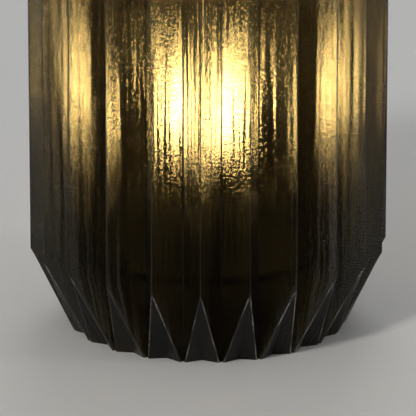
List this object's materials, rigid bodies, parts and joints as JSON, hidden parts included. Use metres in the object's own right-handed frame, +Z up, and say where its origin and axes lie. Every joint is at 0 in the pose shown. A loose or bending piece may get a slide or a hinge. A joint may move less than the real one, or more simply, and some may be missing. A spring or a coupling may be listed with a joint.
{
  "type": "table lamp",
  "caption": "Free-standing pleated paper table lamp: folded ring shade standing round a weighted base with a screw lampholder and bulb.",
  "frame": {"origin": "on the table, under the lamp's axis", "axes": "+Z up along the lamp's axis; +Y towards the back, where the cord inlet and the notch are; +X to the right seen from the front"},
  "size_m": [0.2394, 0.2389, 0.34],
  "materials": {
    "paper": "dark smoky translucent pleating paper with a glossy embossed face",
    "wire": "black lacquered steel band",
    "felt": "dark wool felt",
    "black_steel": "satin black powder coat",
    "zinc": "zinc plated steel",
    "stem_steel": "plated threaded tube",
    "black_plastic": "black thermoset moulding",
    "porcelain": "glazed porcelain",
    "brass": "nickelled brass",
    "bulb_metal": "rolled aluminium",
    "insulator": "dark glassy insulator",
    "bulb_plastic": "white moulded housing",
    "frosted": "frosted diffuser",
    "board": "white solder-masked board",
    "phosphor": "yellow phosphor"
  },
  "bodies": {
    "lamp_base": {"felt_pad": "felt", "base_plate": "black_steel", "base_cover": "black_steel", "cover_screws": "zinc", "cord_gland": "black_plastic", "gland_nut": "black_plastic", "stem_tube": "stem_steel", "stem_nut": "zinc", "stem_washer": "zinc", "column": "black_steel", "holder_cap": "black_plastic", "holder_grub_screw": "zinc", "holder_shell": "black_plastic", "holder_core": "porcelain", "terminal_screws": "zinc", "screw_shell": "brass", "contact_leaf": "brass"},
    "bulb_foot": {"bulb_cap": "bulb_metal", "bulb_insulator": "insulator", "bulb_tip": "bulb_metal"},
    "bulb": {"bulb_housing": "bulb_plastic", "bulb_dome": "frosted", "led_board": "board", "led_chips": "phosphor"},
    "shade": {"front_sheet": "paper", "rear_sheet": "paper", "left_seam_strip": "paper", "right_seam_strip": "paper", "lower_hoop": "wire", "upper_hoop": "wire"}
  },
  "joints": [
    {"name": "shade_lift", "type": "slide", "parent": "lamp_base", "child": "shade", "axis": [0, 0, 1], "range_m": [0, 0.24]},
    {"name": "bulb_rise", "type": "slide", "parent": "lamp_base", "child": "bulb_foot", "axis": [0, 0, 1], "range_m": [0, 0.0128]},
    {"name": "bulb_turn", "type": "hinge", "parent": "bulb_foot", "child": "bulb", "pos_m": [0, 0, 0.0954], "axis": [0, 0, 1], "range_deg": [0, 1260]}
  ],
  "couplings": [
    {"joint": "bulb_rise", "follows": "bulb_turn", "m_per_rad": 0.00057757}
  ]
}
